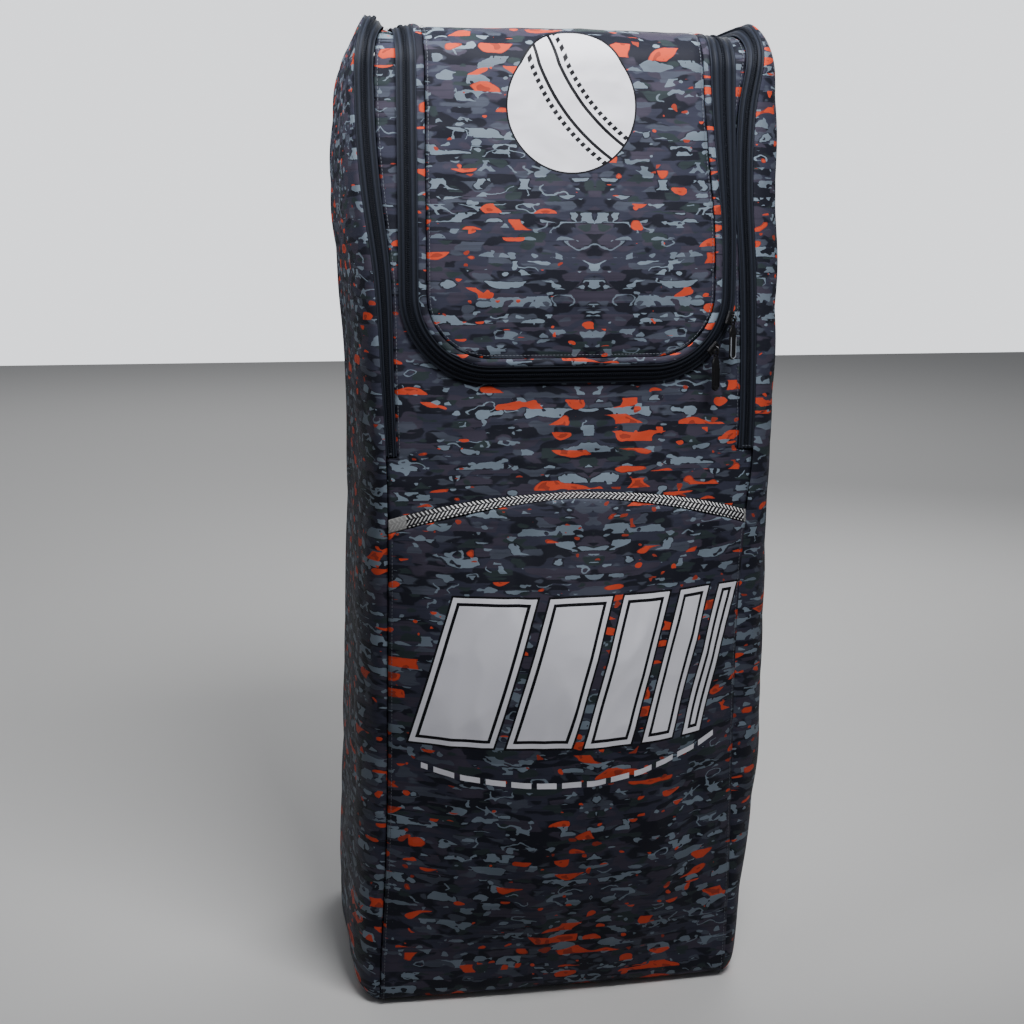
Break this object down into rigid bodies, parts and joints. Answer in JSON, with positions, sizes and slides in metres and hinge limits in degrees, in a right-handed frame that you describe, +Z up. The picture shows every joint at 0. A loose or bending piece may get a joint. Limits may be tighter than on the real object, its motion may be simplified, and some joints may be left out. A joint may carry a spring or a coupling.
{
  "type": "cricket kit bag",
  "caption": "Tall padded kit bag standing on its base, with a full zip opening, a zipped upper pocket, a big lower pocket and two hinged zip pulls.",
  "frame": {"origin": "on the floor under the middle of the bag's bounding box", "axes": "+Z up the bag's height, the front with the pockets faces -Y, +X to the right seen from the front"},
  "size_m": [0.4273, 0.3807, 0.948],
  "materials": {
    "camouflage": "coated woven polyester with a printed camouflage pattern",
    "zip_tape": "black woven tape",
    "zip_coil": "black nylon coil",
    "pocket_trim": "black and white woven trim",
    "slider_metal": "black painted metal",
    "pull_rubber": "black moulded pull"
  },
  "bodies": {
    "bag": {"front_panel": "camouflage", "top_panel": "camouflage", "back_panel": "camouflage", "base_panel": "camouflage", "side_panel_left": "camouflage", "side_panel_right": "camouflage", "main_zip_tape_left": "zip_tape", "main_zip_tape_right": "zip_tape", "main_zip_tape_rear": "zip_tape", "main_zip_coil_left": "zip_coil", "main_zip_coil_right": "zip_coil", "main_zip_coil_rear": "zip_coil", "main_zip_slider": "slider_metal", "flap_pocket_face": "camouflage", "flap_pocket_edging": "camouflage", "flap_pocket_zip_tape": "zip_tape", "flap_pocket_zip_coil": "zip_coil", "lower_pocket_panel": "camouflage", "lower_pocket_trim": "pocket_trim", "zip_slider_upper": "slider_metal", "zip_slider_lower": "slider_metal"},
    "pull_upper": {"zip_pull_upper": "pull_rubber"},
    "pull_lower": {"zip_pull_lower": "pull_rubber"}
  },
  "joints": [
    {"name": "pull_upper_swing", "type": "hinge", "parent": "bag", "child": "pull_upper", "pos_m": [0.15166, -0.14411, 0.67348], "axis": [-0.8112, -0.5848, 0], "range_deg": [0, 150]},
    {"name": "pull_lower_swing", "type": "hinge", "parent": "bag", "child": "pull_lower", "pos_m": [0.13514, -0.14618, 0.64454], "axis": [-0.8655, -0.5008, 0], "range_deg": [0, 150]}
  ]
}
